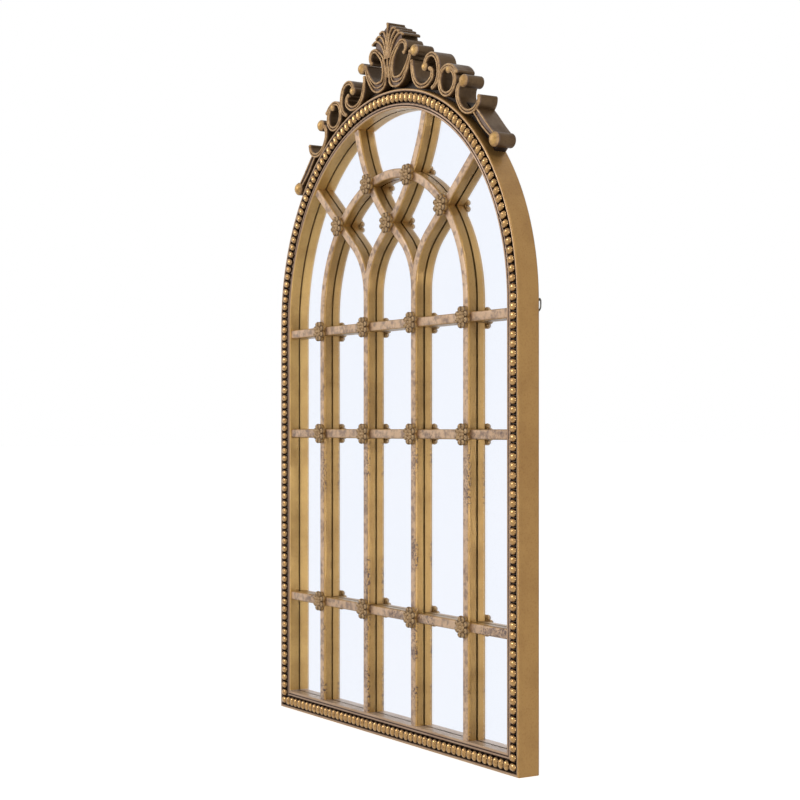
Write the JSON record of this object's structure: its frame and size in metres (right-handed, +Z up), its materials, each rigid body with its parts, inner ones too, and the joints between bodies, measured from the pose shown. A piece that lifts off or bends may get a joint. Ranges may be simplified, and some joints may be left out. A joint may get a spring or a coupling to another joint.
{
  "type": "arched wall mirror",
  "caption": "Round-arched wall mirror in a beaded antique-gold frame, with window tracery over the glass, rosettes on the crossings, a scrolled crest and ring hangers.",
  "frame": {"origin": "centre of the round arch, at its springing level, on the wall plane", "axes": "+X to the right of a person facing the mirror, +Y into the wall (the mirror faces -Y), +Z up"},
  "size_m": [0.75, 0.0515, 1.2003],
  "materials": {
    "gilt_wood": "worn antique gold over brown",
    "gilt_casting": "gold paint rubbed back in the hollows",
    "mirror": "polished silvered glass",
    "hardboard": "smooth brown hardboard",
    "dowel_wood": "bare beech",
    "zinc_steel": "zinc plated"
  },
  "bodies": {
    "frame": {"backing_board": "hardboard", "beads_arch_left": "gilt_casting", "beads_arch_right": "gilt_casting", "beads_bottom": "gilt_casting", "beads_left": "gilt_casting", "beads_right": "gilt_casting", "branch_inner_left": "gilt_wood", "branch_inner_right": "gilt_wood", "branch_outer_left": "gilt_wood", "branch_outer_right": "gilt_wood", "crest_centre": "gilt_casting", "crest_pegs": "dowel_wood", "crest_wing_left": "gilt_casting", "crest_wing_right": "gilt_casting", "frame_arch_left": "gilt_wood", "frame_arch_right": "gilt_wood", "frame_bottom_rail": "gilt_wood", "frame_dowels": "dowel_wood", "frame_left_stile": "gilt_wood", "frame_right_stile": "gilt_wood", "hanger_screws": "zinc_steel", "hanger_strap_left": "zinc_steel", "hanger_strap_right": "zinc_steel", "inner_arch": "gilt_wood", "mirror_glass": "mirror", "mullion_1": "gilt_wood", "mullion_2": "gilt_wood", "mullion_3": "gilt_wood", "mullion_4": "gilt_wood", "retaining_points": "zinc_steel", "rosette_apex": "gilt_casting", "rosette_inner_left": "gilt_casting", "rosette_inner_right": "gilt_casting", "rosette_lower_1": "gilt_casting", "rosette_lower_2": "gilt_casting", "rosette_lower_3": "gilt_casting", "rosette_lower_4": "gilt_casting", "rosette_middle_1": "gilt_casting", "rosette_middle_2": "gilt_casting", "rosette_middle_3": "gilt_casting", "rosette_middle_4": "gilt_casting", "rosette_outer_left": "gilt_casting", "rosette_outer_right": "gilt_casting", "rosette_upper_1": "gilt_casting", "rosette_upper_2": "gilt_casting", "rosette_upper_3": "gilt_casting", "rosette_upper_4": "gilt_casting", "transom_lower": "gilt_wood", "transom_middle": "gilt_wood", "transom_upper": "gilt_wood"},
    "ring_left": {"hanger_ring_left": "zinc_steel"},
    "ring_right": {"hanger_ring_right": "zinc_steel"}
  },
  "joints": [
    {"name": "ring_left_swing", "type": "hinge", "parent": "frame", "child": "ring_left", "pos_m": [-0.364, 0.0027, 0.004], "axis": [1, 0, 0], "range_deg": [0, 180]},
    {"name": "ring_right_swing", "type": "hinge", "parent": "frame", "child": "ring_right", "pos_m": [0.364, 0.0027, 0.004], "axis": [1, 0, 0], "range_deg": [0, 180]}
  ]
}
